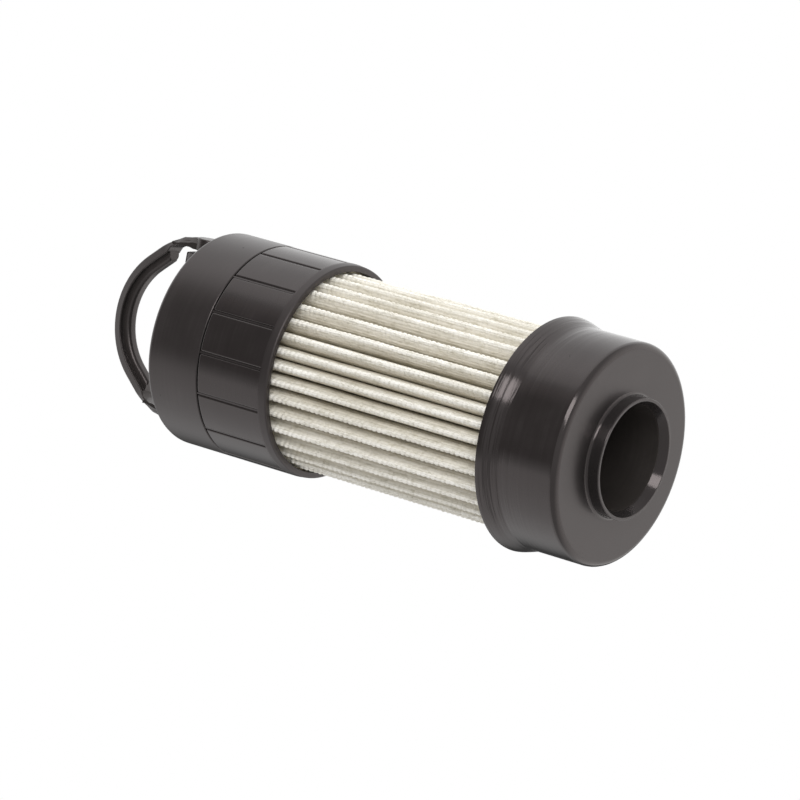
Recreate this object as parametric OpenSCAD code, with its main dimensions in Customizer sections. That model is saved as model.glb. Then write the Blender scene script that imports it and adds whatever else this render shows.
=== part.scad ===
// Hydraulic return-line filter element: pleated pack between two moulded caps, with a bail handle
// and a bypass valve in the head. Z points up along the axis, z = 0 is the nozzle's lip,
// and X runs along the bail's pins.

/* [Pleat pack] */
// Height of the pleats from the inner folds to the tips
pleat_h = 12; // [10.8:0.1:12.6]
// Number of pleats
pleat_n = 36; // [28:1:38]
// Thickness of the folded media
media_t = 1.8; // [1.4:0.05:1.85]
// Turn of the pack about the axis, from the bail's pins to a pleat
pleat_turn = 3.4; // [0:0.2:10]
// Width of one pleat's rounded tip
tip_w = 4.2; // [4:0.1:4.8]
// Length of pleats between the cap's lip and the collar
pleat_show = 104.4; // [60:1:180]

/* [Core] */
// Wall of the perforated core tube
core_t = 1; // [0.6:0.1:1.4]
// Diameter of the core's perforations
perf_d = 8; // [4:0.5:9]
// Perforations in each ring
perf_n = 8; // [6:1:10]

/* [Bottom cap] */
// Gap between the pleat tips and the cup's wall
cup_gap = 1.5; // [0.8:0.1:2.4]
// Outward flare of the lip over the straight wall
lip_flare = 2.5; // [1.6:0.1:4]
// Height of the cup from its face to its lip
cup_h = 35.6; // [34:0.2:44]
// Wall of the cup
cup_wall = 2.5; // [2:0.1:2.8]
// Radius of the corner between wall and face
cup_round = 3; // [1:0.5:3.5]

/* [Nozzle] */
// Diameter of the nozzle bore
bore_d = 42.2; // [38:0.2:48]
// Wall of the nozzle's neck inside the pack
neck_t = 5.4; // [4.6:0.1:6.4]
// Depth of the lead-in taper
lead_in = 3; // [1:0.5:4]
// Widening of the lead-in at its mouth, on each side
lead_w = 1.1; // [0.6:0.1:1.4]
// Wall of the boss around the mouth
boss_wall = 2; // [1.4:0.1:2.8]
// Height of the boss over the face
boss_h = 5.8; // [5:0.2:10]

/* [Collar] */
// Thickness of the gripping fingers
finger_t = 0.9; // [0.7:0.1:1.6]
// Wall of the low cup inside the fingers
pot_wall = 1.4; // [1:0.1:1.9]
// Height of the collar's unslit ring
ring_h = 3.9; // [3:0.1:6]
// Length of the gripping fingers
finger_l = 30.6; // [28:0.2:34]
// Number of fingers
finger_n = 16; // [8:4:20]
// Width of the slits between fingers
slit_w = 1.2; // [0.8:0.1:2.4]

/* [Head] */
// Height of the plain band
band_h = 25.6; // [22:0.2:32]
// Thickness of the end wall
end_t = 3; // [2.4:0.2:4]
// Radius of the rounded end edge
end_round = 2; // [0.5:0.5:2.5]

/* [Bail] */
// Distance from the end wall up to the bail's pins
pin_up = 12.1; // [11:0.1:16]
// Diameter of the pins
pin_d = 6; // [4:0.5:7]
// Width of the outer strap
strap_w = 9; // [7:0.5:11]
// Thickness of the outer strap
strap_t = 3.2; // [2.4:0.2:3.6]
// Depth of the rib inside the strap
rib_d = 3.2; // [2:0.2:5]
// Width of the rib
rib_w = 5.6; // [3:0.2:7]
// Distance over the bail's two legs
bail_w = 72.4; // [70:0.4:76]
// Height of the bail from its pins to its crown
bail_h = 38.2; // [36:0.1:42]
// Radius of the shoulders
shoulder_r = 27; // [26:0.5:28]
// Flatness of the crown between the shoulders, from round to straight
crown_flat = 0.65; // [0.3:0.05:0.85]
// Thickness of the pads outside the two legs
pad_t = 0.8; // [0.4:0.1:2]

/* [Bypass valve] */
// Diameter of the bypass port
port_d = 24; // [16:1:26]
// Wall of the valve tube
tube_t = 3.6; // [3:0.1:4]
// Travel of the poppet
valve_travel = 8; // [4:0.5:9]
// Wire of the bypass spring
wire_d = 2.2; // [1.6:0.1:2.6]
// Turns of the bypass spring
turns = 5; // [4:1:6]
// Section of the O-rings
oring_d = 3; // [2.4:0.1:3]

/* [Hidden] */
$fn = 72;
eps = 0.01;

// radii
bore_r = bore_d / 2;
mouth_r = bore_r + lead_w;
boss_r = mouth_r + boss_wall;
core_ri = bore_r + neck_t + 0.3;
core_ro = core_ri + core_t;
pack_ri = core_ro + 0.5;
pleat_r = pack_ri + pleat_h;
cup_ri = pleat_r + cup_gap;
cup_r = cup_ri + cup_wall;
lip_r = cup_r + lip_flare;
pot_ri = pleat_r + 0.6;
pot_ro = pot_ri + pot_wall;
finger_ri = pot_ro + 0.6;
cap_r = finger_ri + finger_t;
neck_ro = core_ri - 0.1;
neck_ri = neck_ro - 2.2;
tube_ro = neck_ri - 0.2;
valve_ri = tube_ro - tube_t;
pin_r = pin_d / 2;
port_r = port_d / 2;

// levels from the nozzle's lip upwards
face_z = boss_h;
floor_z = face_z + 3;
lip_z = face_z + cup_h;
rim_z = lip_z + pleat_show;
slit_z = rim_z + ring_h;
finger_z = slit_z + finger_l;
band_z = finger_z + 0.4;
end_z = band_z + band_h;
pin_z = end_z + pin_up;

// bottom cap and nozzle
flare_h = 9.2;
neck_z = floor_z + 27.2;
boss_fillet = 3.4;
groove_z = floor_z + 21.8;
groove_h = oring_d + 0.6;
groove_r = bore_r + oring_d - 0.3;
land_r = bore_r + 0.5;

// potting and pleats
pot_t = 2.8;
shelf_z = slit_z + 4.4;
shelf_t = 2.6;
pack_lo = floor_z + pot_t;
pack_hi = shelf_z - pot_t;

// collar: a neck around the valve tube
collar_neck_h = 14;

// head: band, spigot inside the fingers, valve tube inside the collar's neck
spigot_ro = finger_ri - 0.15;
spigot_ri = spigot_ro - 2.4;
key_gap = 0.1;
key_drop = 0.4;
seat_gap = 1;
spigot_z = shelf_z + shelf_t + 0.3;
snap_z = finger_z - 6;
snap_h = 3;
snap_d = 0.45;
tube_z = shelf_z + shelf_t + seat_gap;
small_oring = 2;
groove_rise = 2.6;
tube_groove_z = tube_z + groove_rise;
tube_groove_h = small_oring + 0.5;
ring_rise = 7.6;
ring_groove_z = tube_z + ring_rise;
ring_t = 1.5;
guide_t = 4;
guide_z = ring_groove_z + ring_t;
step_r = valve_ri - 0.9;
ear_t = 5;
ear_r = 8.5;
strap_x = bail_w / 2 - strap_t;
ear_gap = 1;
ear_x = strap_x - ear_gap;
hole_r = pin_r + 0.2;

// bypass valve
seat_h = 1.5;
seat_t = 2.5;
seat_z = end_z - end_t - seat_h;
seal_t = 2;
seal_ri = port_r - 1.5;
seal_ro = port_r + 4;
poppet_r = port_r + 5;
poppet_t = 4.5;
poppet_z = seat_z - poppet_t;
stem_r = 3.5;
hub_t = 3;
hub_ro = stem_r + hub_t;
hub_h = 5;
stop_ro = stem_r + 1.5;
stop_gap = 0.3;
web_t = 1.2;
window_gap = 0.8;
spring_gap = 3;
spring_r = min(port_r + spring_gap / 2, valve_ri - wire_d - spring_gap);
wire_r = wire_d / 2;
spring_lo = guide_z + guide_t;
spring_hi = poppet_z;
stop_z = spring_lo + hub_h + valve_travel + stop_gap;

// bail
rib_lift = 16.6;
pad_lift = 6.6;
pad_fade = 4.6;
pad_w = strap_w - 1.6;
pad_x = bail_w / 2 + pad_t;
pin_l = ear_gap + ear_t - 0.4;
eye_r = pin_r + 2.4;
shoulder_x = bail_w / 2 - shoulder_r;
shoulder_drop = shoulder_x / 7;
crown_r = shoulder_r + crown_flat * norm([shoulder_x, shoulder_drop]);
crown_z = bail_h - crown_r;
shoulder_z = crown_z - shoulder_drop;
blend_a = asin(crown_flat) + atan(shoulder_drop / shoulder_x);

// A point of an arc, with the angle measured from the vertical
function arc_point(c, r, a) = [c[0] + r * sin(a), c[1] + r * cos(a)];

// Widening of the cup's flare from 0 to 1: a cone with short turns at both ends
function flare(s) = pow(s, 1.16) / (pow(s, 1.16) + pow(1 - s, 1.16));

// Ring of rectangular section
module ring(ri, ro, h) {
    difference() {
        cylinder(r = ro, h = h);
        translate([0, 0, -1]) cylinder(r = ri, h = h + 2);
    }
}

// Round ring of circular section that lies on z = 0
module o_ring(r, d) {
    translate([0, 0, d / 2]) rotate_extrude() translate([r, 0]) circle(d = d, $fn = 16);
}

// Outline of the cup's outside, from the boss's lip to the flared lip
function cup_outline() = concat(
    [[mouth_r, 0], [boss_r - 0.4, 0], [boss_r, 0.4]],
    [for (i = [0:5]) [boss_r + boss_fillet * (1 - cos(i * 18)), face_z - boss_fillet * (1 - sin(i * 18))]],
    [for (i = [0:6]) [cup_r - cup_round * (1 - sin(i * 15)), face_z + cup_round * (1 - cos(i * 15))]],
    [for (i = [0:8]) [cup_r + lip_flare * flare(i / 8), lip_z - 0.6 - flare_h * (1 - i / 8)]],
    [[lip_r - 0.4, lip_z]]
);

// Outline of the cup's inside, from the flared lip back to the bore
function cup_inside() = concat(
    [for (i = [8:-1:0]) [cup_ri + lip_flare * flare(i / 8), lip_z - flare_h * (1 - i / 8)]],
    [[cup_ri, floor_z], [bore_r + neck_t, floor_z], [bore_r + neck_t, neck_z], [bore_r + 1, neck_z]],
    [[land_r, neck_z - 0.5], [land_r, groove_z + 1], [bore_r, groove_z + 1], [bore_r, lead_in]]
);

module bottom_cap() {
    color("#2e2b2c") difference() {
        rotate_extrude() polygon(concat(cup_outline(), cup_inside()));
        translate([0, 0, groove_z]) ring(bore_r - 1, groove_r, groove_h);
    }
}

module nozzle_oring() {
    color("#151515") translate([0, 0, groove_z + 0.3]) o_ring(groove_r - oring_d / 2, oring_d);
}

module lower_potting() {
    color("#d8d2c0") translate([0, 0, floor_z]) ring(core_ro, cup_ri, pot_t);
}

module upper_potting() {
    color("#d8d2c0") translate([0, 0, shelf_z - pot_t]) ring(core_ro, pot_ri, pot_t);
}

// Pleated media: each pleat is a round outer tip on two legs that turn into its neighbours' legs
pleat_a = 360 / pleat_n;
tip_r = tip_w / 2;
tip_c = pleat_r - tip_r;
slot_r = tip_r - media_t;
fold_r = pack_ri + media_t;
leg_w = fold_r * sin(pleat_a / 2) - 0.3;
slot_w = leg_w - media_t;
seam_inset = 1.8;
seam_depth = 1.2;

// Point at radius u along a pleat's middle line and w to its side, turned to pleat k
function pleat_point(u, w, k) =
    [u * cos(k * pleat_a) - w * sin(k * pleat_a), u * sin(k * pleat_a) + w * cos(k * pleat_a)];

function outer_pleat(k) = concat(
    [pleat_point(fold_r + 1, -leg_w, k)],
    [for (a = [-100:25:100]) pleat_point(tip_c + tip_r * cos(a), tip_r * sin(a), k)],
    [pleat_point(fold_r + 1, leg_w, k), pleat_point(fold_r, 0, k + 0.5)]
);

function inner_pleat(k) = concat(
    [pleat_point(pack_ri + 1.4, -slot_w, k)],
    [for (a = [-90:45:90]) pleat_point(tip_c + slot_r * cos(a), slot_r * sin(a), k)],
    [pleat_point(pack_ri + 1.4, slot_w, k), pleat_point(pack_ri + 0.3, slot_w + 0.6, k)],
    [pleat_point(pack_ri, 0, k + 0.5), pleat_point(pack_ri + 0.3, -slot_w - 0.6, k + 1)]
);

module pleat_pack() {
    color("#e9e4d6") rotate([0, 0, pleat_turn]) translate([0, 0, pack_lo])
    linear_extrude(pack_hi - pack_lo) difference() {
        polygon([for (k = [0:pleat_n - 1]) each outer_pleat(k)]);
        polygon([for (k = [0:pleat_n - 1]) each inner_pleat(k)]);
    }
}

// Adhesive line between the two legs of one pleat on the far side
module seam_bead() {
    seam_k = round(pleat_n / 4);
    seam_l = tip_c - pack_ri - seam_inset - seam_depth;
    bead_w = min(slot_r, slot_w) * 2 - 0.1;
    color("#cbbf9c") rotate([0, 0, seam_k * pleat_a + pleat_turn])
        translate([pack_ri + seam_inset, -bead_w / 2, pack_lo])
        cube([seam_l, bead_w, pack_hi - pack_lo]);
}

// Perforated tube: rings of holes, every second ring turned by half a pitch
module core_tube() {
    rows = floor((pack_hi - pack_lo - perf_d) / (perf_d + 7));
    pitch = (pack_hi - pack_lo) / rows;
    color("#b9bcc0") difference() {
        translate([0, 0, floor_z]) ring(core_ri, core_ro, shelf_z - floor_z, $fn = 60);
        for (j = [0:rows - 1]) for (i = [0:perf_n - 1])
            rotate([0, 0, (i + (j % 2) / 2 + 0.25) * 360 / perf_n])
                translate([core_ri - 3, 0, pack_lo + (j + 0.5) * pitch])
                    rotate([0, 90, 0]) cylinder(d = perf_d, h = core_t + 6, $fn = 16);
    }
}

// Collar in one moulding: low potting cup with a neck, and the slit fingers around it
module finger_collar() {
    color("#2e2b2c") difference() {
        rotate_extrude() polygon([
            [pot_ri, rim_z], [cap_r - 0.6, rim_z], [cap_r, rim_z + 0.6],
            [cap_r, finger_z - 0.3], [cap_r - 0.3, finger_z], [finger_ri + 0.3, finger_z],
            [finger_ri, finger_z - 0.5], [finger_ri, snap_z + snap_h], [finger_ri - snap_d, snap_z + snap_h - 0.6],
            [finger_ri - snap_d, snap_z + 0.6], [finger_ri, snap_z], [finger_ri, slit_z - 0.6],
            [pot_ro, slit_z - 0.6], [pot_ro, shelf_z + shelf_t], [neck_ro, shelf_z + shelf_t],
            [neck_ro, shelf_z + collar_neck_h], [neck_ri, shelf_z + collar_neck_h], [neck_ri, shelf_z],
            [pot_ri, shelf_z]
        ]);
        for (i = [0:finger_n - 1])
            rotate([0, 0, i * 360 / finger_n])
                translate([pot_ro + 0.03, -slit_w / 2, slit_z]) cube([cap_r, slit_w, finger_l + 1]);
    }
}

module neck_oring() {
    color("#151515") translate([0, 0, tube_groove_z + 0.25])
        o_ring(neck_ri - small_oring / 2, small_oring);
}

// Head's section: end wall, band, spigot and valve tube, turned about the axis
module head_shell() {
    rotate_extrude() polygon(concat(
        [[port_r, end_z]],
        [for (i = [0:4]) [cap_r - end_round * (1 - sin(i * 22.5)), end_z - end_round * (1 - cos(i * 22.5))]],
        [[cap_r, band_z + 0.3], [cap_r - 0.3, band_z], [spigot_ro, band_z], [spigot_ro, snap_z + snap_h + 0.1]],
        [[spigot_ro - snap_d - 0.1, snap_z + snap_h - 0.5], [spigot_ro - snap_d - 0.1, snap_z + 0.5]],
        [[spigot_ro, snap_z - 0.1], [spigot_ro, spigot_z + 1.2], [spigot_ro - 0.8, spigot_z]],
        [[spigot_ri, spigot_z], [spigot_ri, end_z - end_t], [tube_ro, end_z - end_t]],
        [[tube_ro, tube_z + 0.8], [tube_ro - 0.5, tube_z], [valve_ri, tube_z], [valve_ri, guide_z + guide_t]],
        [[step_r, guide_z + guide_t], [step_r, end_z - end_t], [port_r + seat_t, end_z - end_t]],
        [[port_r + seat_t, seat_z], [port_r, seat_z]]
    ));
}

// Ear for one of the bail's pins, with a lead-in on its outer top edge
module ear() {
    difference() {
        translate([ear_x - ear_t, 0, 0]) {
            translate([0, 0, pin_z]) rotate([0, 90, 0]) cylinder(r = ear_r, h = ear_t);
            translate([0, -ear_r, end_z - 1]) cube([ear_t, 2 * ear_r, pin_up + 1]);
        }
        translate([ear_x, 0, pin_z + ear_r]) rotate([0, 45, 0])
            cube([3, 2 * ear_r + 2, 3], center = true);
        translate([0, 0, pin_z]) rotate([0, 90, 0]) cylinder(r = hole_r, h = cap_r);
    }
}

// Key on the spigot that fills the lower part of one slit of the collar
module key() {
    key_w = slit_w - 2 * key_gap;
    key_x = pot_ro + 0.15;
    key_z = slit_z + key_gap;
    translate([key_x, -key_w / 2, key_z]) cube([cap_r - key_drop - key_x, key_w, band_z + 1 - key_z]);
}

module head_cap() {
    color("#2e2b2c") difference() {
        union() {
            head_shell();
            for (i = [0:finger_n - 1]) rotate([0, 0, i * 360 / finger_n]) key();
            ear();
            mirror([1, 0, 0]) ear();
        }
        translate([0, 0, tube_groove_z])
            ring(neck_ri - small_oring, tube_ro + 1, tube_groove_h);
        translate([0, 0, ring_groove_z]) ring(valve_ri - 1, valve_ri + 1, ring_t + 0.05);
    }
}

// Poppet: disc with a recess for its seal, and a stem that slides in the guide's hub and stops on it
module bypass_poppet() {
    color("#3b3a3c") difference() {
        union() {
            translate([0, 0, poppet_z]) cylinder(r = poppet_r, h = poppet_t - 0.4);
            translate([0, 0, guide_z - 1]) cylinder(r = stem_r, h = poppet_z - guide_z + 1.5);
            translate([0, 0, stop_z]) cylinder(r = stop_ro, h = poppet_z - stop_z + 0.5);
            translate([0, 0, poppet_z - 2]) cylinder(r = spring_r - wire_r - 0.3, h = 2.5);
        }
        translate([0, 0, seat_z - seal_t]) ring(seal_ri, seal_ro, seal_t + 1);
    }
}

module poppet_seal() {
    color("#151515") translate([0, 0, seat_z - seal_t]) ring(seal_ri, seal_ro, seal_t);
}

// Point of the spring's surface: turn a along the helix, angle b round the wire
function coil_point(a, b, rise) = [
    (spring_r + wire_r * cos(b)) * cos(a),
    (spring_r + wire_r * cos(b)) * sin(a),
    spring_lo + wire_r + rise * a / 360 + wire_r * sin(b)
];

// Compression spring: open coils of round wire between the guide and the poppet
module bypass_spring() {
    steps = turns * 20;
    sides = 8;
    rise = (spring_hi - spring_lo - wire_d) / turns;
    points = [for (i = [0:steps]) for (j = [0:sides - 1]) coil_point(i * 18, j * 360 / sides, rise)];
    walls = [for (i = [0:steps - 1]) for (j = [0:sides - 1])
        let (n = (j + 1) % sides)
        [i * sides + j, i * sides + n, (i + 1) * sides + n, (i + 1) * sides + j]];
    ends = [[for (j = [sides - 1:-1:0]) j], [for (j = [0:sides - 1]) steps * sides + j]];
    color("#9a9da1") polyhedron(points, concat(walls, ends));
}

// Plate that carries the spring, with a hub for the stem and windows for the oil
module spring_guide() {
    color("#3b3a3c") difference() {
        translate([0, 0, guide_z]) union() {
            cylinder(r = valve_ri - 0.05, h = guide_t);
            cylinder(r = hub_ro, h = guide_t + hub_h);
        }
        translate([0, 0, guide_z - 1]) cylinder(r = stem_r + 0.05, h = guide_t + hub_h + 2);
        for (i = [0:3]) rotate([0, 0, i * 90 + 12]) {
            window(hub_ro + web_t, spring_r - wire_r - window_gap);
            window(spring_r + wire_r + window_gap, valve_ri - web_t - 0.6);
        }
    }
}

// Curved window of the guide plate, a sixth of a turn long
module window(ri, ro) {
    translate([0, 0, guide_z - 1]) rotate_extrude(angle = 66, $fn = 48)
        translate([ri, 0]) square([ro - ri, guide_t + 2]);
}

// Snap ring with a gap at its ears
module retaining_ring() {
    color("#8d9094") translate([0, 0, ring_groove_z]) difference() {
        ring(valve_ri - 1.6, valve_ri + 0.9, ring_t);
        translate([valve_ri - 5, -3, -1]) cube([8, 6, ring_t + 2]);
    }
}

// Outline of the arch, moved inwards by inset, from one foot to the other
function half_arch(inset) = concat(
    [for (i = [0:8]) arc_point([0, crown_z], crown_r - inset, i * blend_a / 8)],
    [for (i = [0:8]) arc_point([shoulder_x, shoulder_z], shoulder_r - inset, blend_a + i * (90 - blend_a) / 8)],
    [[shoulder_x + shoulder_r - inset, 0]]
);

module arch(inset) {
    right = half_arch(inset);
    polygon(concat([for (i = [len(right) - 1:-1:1]) [-right[i][0], right[i][1]]], right));
}

// Flat arch that stands on its feet at the pins' level, of width w along Y
module arch_plate(w, outer, inner) {
    translate([0, w / 2, 0]) rotate([90, 0, 0]) linear_extrude(w) difference() {
        arch(outer);
        translate([0, -eps]) arch(inner);
    }
}

// Pad on the outside of one leg, from the pin to where the arch turns in
module leg_pad() {
    fade_z = pad_lift + pad_fade;
    fade_x = shoulder_x + sqrt(pow(shoulder_r - strap_t / 3, 2) - pow(fade_z - shoulder_z, 2));
    translate([0, pad_w / 2, 0]) rotate([90, 0, 0]) linear_extrude(pad_w)
        polygon([[strap_x + 0.5, 0], [pad_x, 0], [pad_x, pad_lift], [fade_x + 0.8, fade_z], [fade_x - 1, fade_z],
                 [strap_x, pad_lift - 1.5]]);
}

module bail_handle() {
    color("#2e2b2c") translate([0, 0, pin_z]) {
        arch_plate(strap_w, 0, strap_t);
        intersection() {
            arch_plate(rib_w, strap_t - eps, strap_t + rib_d);
            translate([-bail_w, -strap_w, rib_lift]) cube([2 * bail_w, 2 * strap_w, bail_h]);
        }
        for (s = [0, 1]) mirror([s, 0, 0]) {
            leg_pad();
            translate([strap_x, 0, 0]) rotate([0, 90, 0]) cylinder(r = eye_r, h = strap_t + pad_t + 0.2);
            translate([strap_x - pin_l, 0, 0]) rotate([0, 90, 0]) cylinder(r = pin_r, h = pin_l + 1);
        }
    }
}

bottom_cap();
nozzle_oring();
lower_potting();
pleat_pack();
seam_bead();
core_tube();
upper_potting();
finger_collar();
neck_oring();
head_cap();
bypass_poppet();
poppet_seal();
bypass_spring();
spring_guide();
retaining_ring();
bail_handle();
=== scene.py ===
import bpy
import math
import random
from mathutils import Matrix, Vector


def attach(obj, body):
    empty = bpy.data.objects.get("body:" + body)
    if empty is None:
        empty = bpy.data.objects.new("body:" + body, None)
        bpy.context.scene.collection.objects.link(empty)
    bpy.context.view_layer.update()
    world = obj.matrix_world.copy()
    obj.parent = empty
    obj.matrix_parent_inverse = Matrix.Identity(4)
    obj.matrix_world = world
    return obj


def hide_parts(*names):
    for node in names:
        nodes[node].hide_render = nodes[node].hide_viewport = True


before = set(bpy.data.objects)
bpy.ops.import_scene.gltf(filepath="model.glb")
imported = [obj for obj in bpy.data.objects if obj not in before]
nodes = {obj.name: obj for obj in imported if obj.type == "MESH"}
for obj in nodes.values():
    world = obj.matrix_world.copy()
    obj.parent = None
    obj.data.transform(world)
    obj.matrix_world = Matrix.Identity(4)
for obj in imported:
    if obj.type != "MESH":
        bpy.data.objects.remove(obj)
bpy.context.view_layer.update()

# Sizes of the element in millimetres: Z is a place on the axis, R, RI and RO are radii, and T a thickness
MM = 0.001
FACE_Z, FLOOR_Z, LIP_Z = 5.8, 8.8, 41.4
RIM_Z, SLIT_Z, FINGER_Z, BAND_Z, END_Z, PIN_Z = 145.8, 149.7, 180.3, 180.7, 206.3, 218.4
BORE_R, MOUTH_R, BOSS_R, CUP_R, LIP_R, CUP_RI = 21.1, 22.9, 24.15, 44.3, 46.8, 41.8
FLARE_H, FLARE_POWER, LEAD_Z = 9.2, 1.16, 3.6
NECK_Z, NECK_T, GROOVE_Z, GROOVE_H, GROOVE_D, LAND_D = 36.0, 5.4, 30.6, 3.6, 2.7, 0.5
CAP_R, FINGER_RI, POT_RO, POT_RI, SLIT_W, KEY_DROP = 43.8, 42.9, 42.3, 40.9, 0.95, 0.4
SHELF_Z, SHELF_T, SHELF_NECK_H = 154.1, 2.6, 14.0
TUBE_RO, NECK_RI, NECK_RO, VALVE_RI = 24.3, 24.5, 26.7, 20.7
WALL_T, PORT_R, SEAT_R, SEAT_H, GUIDE_Z, GUIDE_STEP = 3.0, 12.0, 14.5, 1.5, 170.8, 0.9
PACK_LO, PACK_HI, PLEAT_R = 11.6, 151.3, 40.3
FINGERS, FOLDS = 16, 36
TURN_SEGS = 224


# Shader helpers
def new_material(name):
    mat = bpy.data.materials.new(name)
    mat.use_nodes = True
    tree = mat.node_tree
    tree.nodes.clear()
    out = tree.nodes.new("ShaderNodeOutputMaterial")
    shader = tree.nodes.new("ShaderNodeBsdfPrincipled")
    tree.links.new(shader.outputs["BSDF"], out.inputs["Surface"])
    return mat, tree, shader


def add(tree, kind, inputs=(), **props):
    """New node. An input is linked where its value is a socket, and set where it is a number or a colour."""
    node = tree.nodes.new("ShaderNode" + kind)
    for prop, value in props.items():
        setattr(node, prop, value)
    for key, value in dict(inputs).items():
        if hasattr(value, "is_linked"):
            tree.links.new(value, node.inputs[key])
        else:
            node.inputs[key].default_value = value
    return node


def math_node(tree, operation, a, b=0.0, c=None, clamp=False):
    inputs = {0: a, 1: b}
    if c is not None:
        inputs[2] = c
    return add(tree, "Math", inputs, operation=operation, use_clamp=clamp).outputs[0]


def scaled(tree, value, factor, offset, clamp=False):
    """value * factor + offset"""
    return math_node(tree, "MULTIPLY_ADD", value, factor, offset, clamp)


def climb(tree, value, low, high):
    """0 at low and 1 at high, where high may be the lower number."""
    span = high - low
    return scaled(tree, value, 1.0 / span, -low / span, clamp=True)


def humps(tree, value, spacing):
    """Row of round humps from 0 to 1, one per spacing."""
    angle = math_node(tree, "MULTIPLY", value, math.pi / spacing)
    return math_node(tree, "ABSOLUTE", math_node(tree, "SINE", angle))


def mix_colour(tree, fac, a, b, blend="MIX"):
    """The Mix node's colours are its inputs 6 and 7 and its output 2."""
    return add(tree, "Mix", {0: fac, 6: a, 7: b}, data_type="RGBA", blend_type=blend).outputs[2]


def ramp(tree, fac, stops):
    node = add(tree, "ValToRGB", {0: fac})
    while len(node.color_ramp.elements) < len(stops):
        node.color_ramp.elements.new(0.5)
    for element, (position, colour) in zip(node.color_ramp.elements, stops):
        element.position = position
        element.color = (*colour, 1)
    return node.outputs["Color"]


def noise(tree, coords, scale, detail=3.0, rough=0.5):
    inputs = {"Vector": coords, "Scale": scale, "Detail": detail, "Roughness": rough}
    return add(tree, "TexNoise", inputs).outputs["Fac"]


def stretched(tree, coords, size):
    return add(tree, "Mapping", {"Vector": coords, "Scale": size}).outputs["Vector"]


def bump(tree, shader, height, distance, strength=1.0, after=None):
    inputs = {"Height": height, "Distance": distance, "Strength": strength}
    if after is not None:
        inputs["Normal"] = after
    node = add(tree, "Bump", inputs)
    tree.links.new(node.outputs["Normal"], shader.inputs["Normal"])
    return node.outputs["Normal"]


def height_ramp(tree, where, low, high):
    """0 at height low and 1 at height high, in millimetres."""
    return climb(tree, add(tree, "SeparateXYZ", {0: where}).outputs["Z"], low * MM, high * MM)


# Moulded plastic: scales of its noises, and how much they change tone, roughness and surface
GRAIN_SCALE, CLOUD_SCALE, RING_TURN_SCALE = 1600.0, 55.0, 18.0
CLOUD_TONE, CLOUD_ROUGH, RING_ROUGH = 0.7, 0.08, 0.06
PLASTIC_IOR, PLASTIC_TINT = 1.54, (1.0, 0.88, 0.87, 1)
PLASTIC_RELIEF, PLASTIC_BUMP = 0.00002, 0.6
DOWN_FROM, DOWN = -0.9, -1.0


def plastic(name, base, rough, streaks=0.5, ring_scale=900.0, fade=None, face_rough=0.0, rim=None):
    """Moulded plastic with faint clouds, and rings of relief around the axis.

    fade gives the heights between which the rings grow from nothing, and rim those between which the
    roughness grows, with its growth. face_rough is the extra roughness of faces that look down.
    """
    mat, tree, shader = new_material(name)
    where = add(tree, "TexCoord").outputs["Object"]
    grain = noise(tree, where, GRAIN_SCALE, 2.0)
    cloud = noise(tree, where, CLOUD_SCALE)
    rings = noise(tree, stretched(tree, where, (RING_TURN_SCALE, RING_TURN_SCALE, ring_scale)), 1.0)

    lighter = tuple(c * 1.35 + 0.003 for c in base)
    darker = tuple(c * 0.8 for c in base)
    tone = scaled(tree, cloud, CLOUD_TONE, math_node(tree, "MULTIPLY", rings, 1 - CLOUD_TONE))
    colour = ramp(tree, tone, [(0.3, darker), (0.55, base), (0.8, lighter)])
    tree.links.new(colour, shader.inputs["Base Color"])

    level = scaled(tree, cloud, CLOUD_ROUGH, rough - CLOUD_ROUGH / 2)
    level = scaled(tree, rings, RING_ROUGH, level)
    if face_rough > 0:
        normal = add(tree, "TexCoord").outputs["Normal"]
        upward = add(tree, "SeparateXYZ", {0: normal}).outputs["Z"]
        level = scaled(tree, climb(tree, upward, DOWN_FROM, DOWN), face_rough, level)
    if rim is not None:
        low, high, growth = rim
        level = scaled(tree, height_ramp(tree, where, low, high), growth, level)
    tree.links.new(level, shader.inputs["Roughness"])
    shader.inputs["IOR"].default_value = PLASTIC_IOR
    shader.inputs["Specular Tint"].default_value = PLASTIC_TINT

    if fade is not None:
        streaks = math_node(tree, "MULTIPLY", height_ramp(tree, where, *fade), streaks)
    bump(tree, shader, scaled(tree, rings, streaks, grain), PLASTIC_RELIEF, PLASTIC_BUMP)
    return mat


SIMPLE_ROUGH, SIMPLE_BUMP = 0.2, 0.7


def simple(name, base, rough, metallic=0.0, scale=300.0, spread=0.25, depth=0.00003):
    """Finish with one noise, which changes the tone by spread and the surface by depth."""
    mat, tree, shader = new_material(name)
    where = add(tree, "TexCoord").outputs["Object"]
    speckle = noise(tree, where, scale, 4.0)
    dark = tuple(c * (1 - spread) for c in base)
    light = tuple(min(1.0, c * (1 + spread)) for c in base)
    tree.links.new(ramp(tree, speckle, [(0.3, dark), (0.7, light)]), shader.inputs["Base Color"])
    level = scaled(tree, speckle, SIMPLE_ROUGH, rough - SIMPLE_ROUGH / 2)
    tree.links.new(level, shader.inputs["Roughness"])
    shader.inputs["Metallic"].default_value = metallic
    bump(tree, shader, speckle, depth, SIMPLE_BUMP)
    return mat


# Wire mesh on the pleats: spacings in millimetres, mean height of a row of humps, and slope of the weft
WARP, WEFT, MEAN_HUMP, WEFT_SLOPE = 1.05, 2.35, 0.64, 0.2
CREST_FROM, CREST = 0.825, 0.95
WOVEN_RELIEF, WOVEN_BUMP, GRAIN_RELIEF, GRAIN_BUMP = 0.00022, 0.9, 0.00008, 0.8
CLOTH_ROUGH, CLOTH_ROUGH_SPREAD, CLOTH_SPECULAR = 0.42, 0.25, 0.35
WHITE = (1.0, 1.0, 1.0)


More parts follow.
